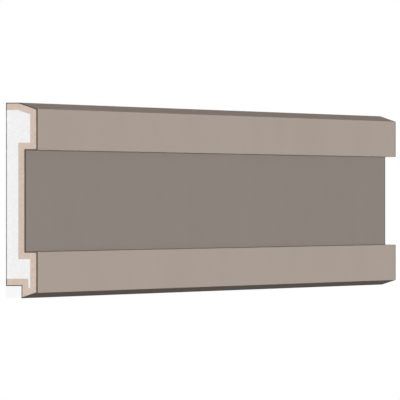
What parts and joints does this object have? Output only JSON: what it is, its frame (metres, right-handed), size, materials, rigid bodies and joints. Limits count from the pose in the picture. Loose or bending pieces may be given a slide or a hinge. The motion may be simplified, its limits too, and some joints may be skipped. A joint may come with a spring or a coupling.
{
  "type": "facade band moulding",
  "caption": "Straight length of stepped facade band moulding, a foam core faced with painted mortar, with raised bands, a flat recess, a sloping top and a drip lip.",
  "frame": {"origin": "middle of the back face, on the floor that the band lies on", "axes": "+X along the length, +Y towards the sloping top, which points up on the wall, +Z out from the wall, which is up as the band lies on its back"},
  "size_m": [1.2, 0.2, 0.034],
  "materials": {
    "rigid_foam": "white expanded polystyrene, cut smooth, bare on the back and the ends",
    "painted_mortar": "moulded fine mortar with matt taupe facade paint, darker taupes in the recess and on the sloping underside, and bare sand-coloured mortar on the cut ends"
  },
  "bodies": {
    "root": {"foam_core": "rigid_foam", "facing_coat": "painted_mortar"}
  },
  "joints": []
}
